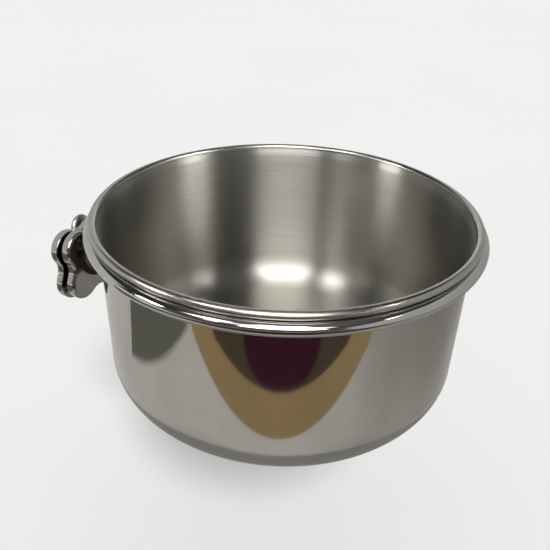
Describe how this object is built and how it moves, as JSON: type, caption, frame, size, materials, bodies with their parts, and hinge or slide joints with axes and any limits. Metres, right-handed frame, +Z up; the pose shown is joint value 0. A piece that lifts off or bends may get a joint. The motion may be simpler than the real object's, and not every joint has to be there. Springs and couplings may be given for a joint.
{
  "type": "hanging seed cup",
  "caption": "Round metal seed cup with a rolled rim, lifted out of a rod ring that hangs on a lobed clamp with a wing nut, for gripping upright wires",
  "frame": {"origin": "On the clamp's axis, on the face of the front plate that meets the wires", "axes": "+Z is up along the cup's axis, -X points out through the wall of wires along the stud, +Y runs level along the wall towards the cup's centre"},
  "size_m": [0.1601, 0.1438, 0.0699],
  "materials": {
    "cup": "polished outside, brushed inside and on the rim",
    "rod": "bright polished rod",
    "plate": "bright polished, with tumbled edges",
    "screw": "plain, dull bright",
    "weld": "cleaned weld, dull"
  },
  "bodies": {
    "holder": {"ring": "rod", "hanger": "rod", "front_plate": "plate", "stud": "screw", "welds": "weld"},
    "cup": {"cup": "cup"},
    "rear_plate": {"rear_plate": "plate"},
    "wing_nut": {"wing_nut": "screw"}
  },
  "joints": [
    {"name": "cup_lift", "type": "slide", "parent": "holder", "child": "cup", "axis": [0, 0, 1], "range_m": [0, 0.075]},
    {"name": "plate_slide", "type": "slide", "parent": "holder", "child": "rear_plate", "axis": [-1, 0, 0], "range_m": [-0.00195, 0.0058]},
    {"name": "nut_spin", "type": "hinge", "parent": "rear_plate", "child": "wing_nut", "pos_m": [0, 0, 0], "axis": [-1, 0, 0], "range_deg": [-610, 1798]}
  ],
  "couplings": [
    {"joint": "plate_slide", "follows": "nut_spin", "m_per_rad": 0.00015915}
  ]
}
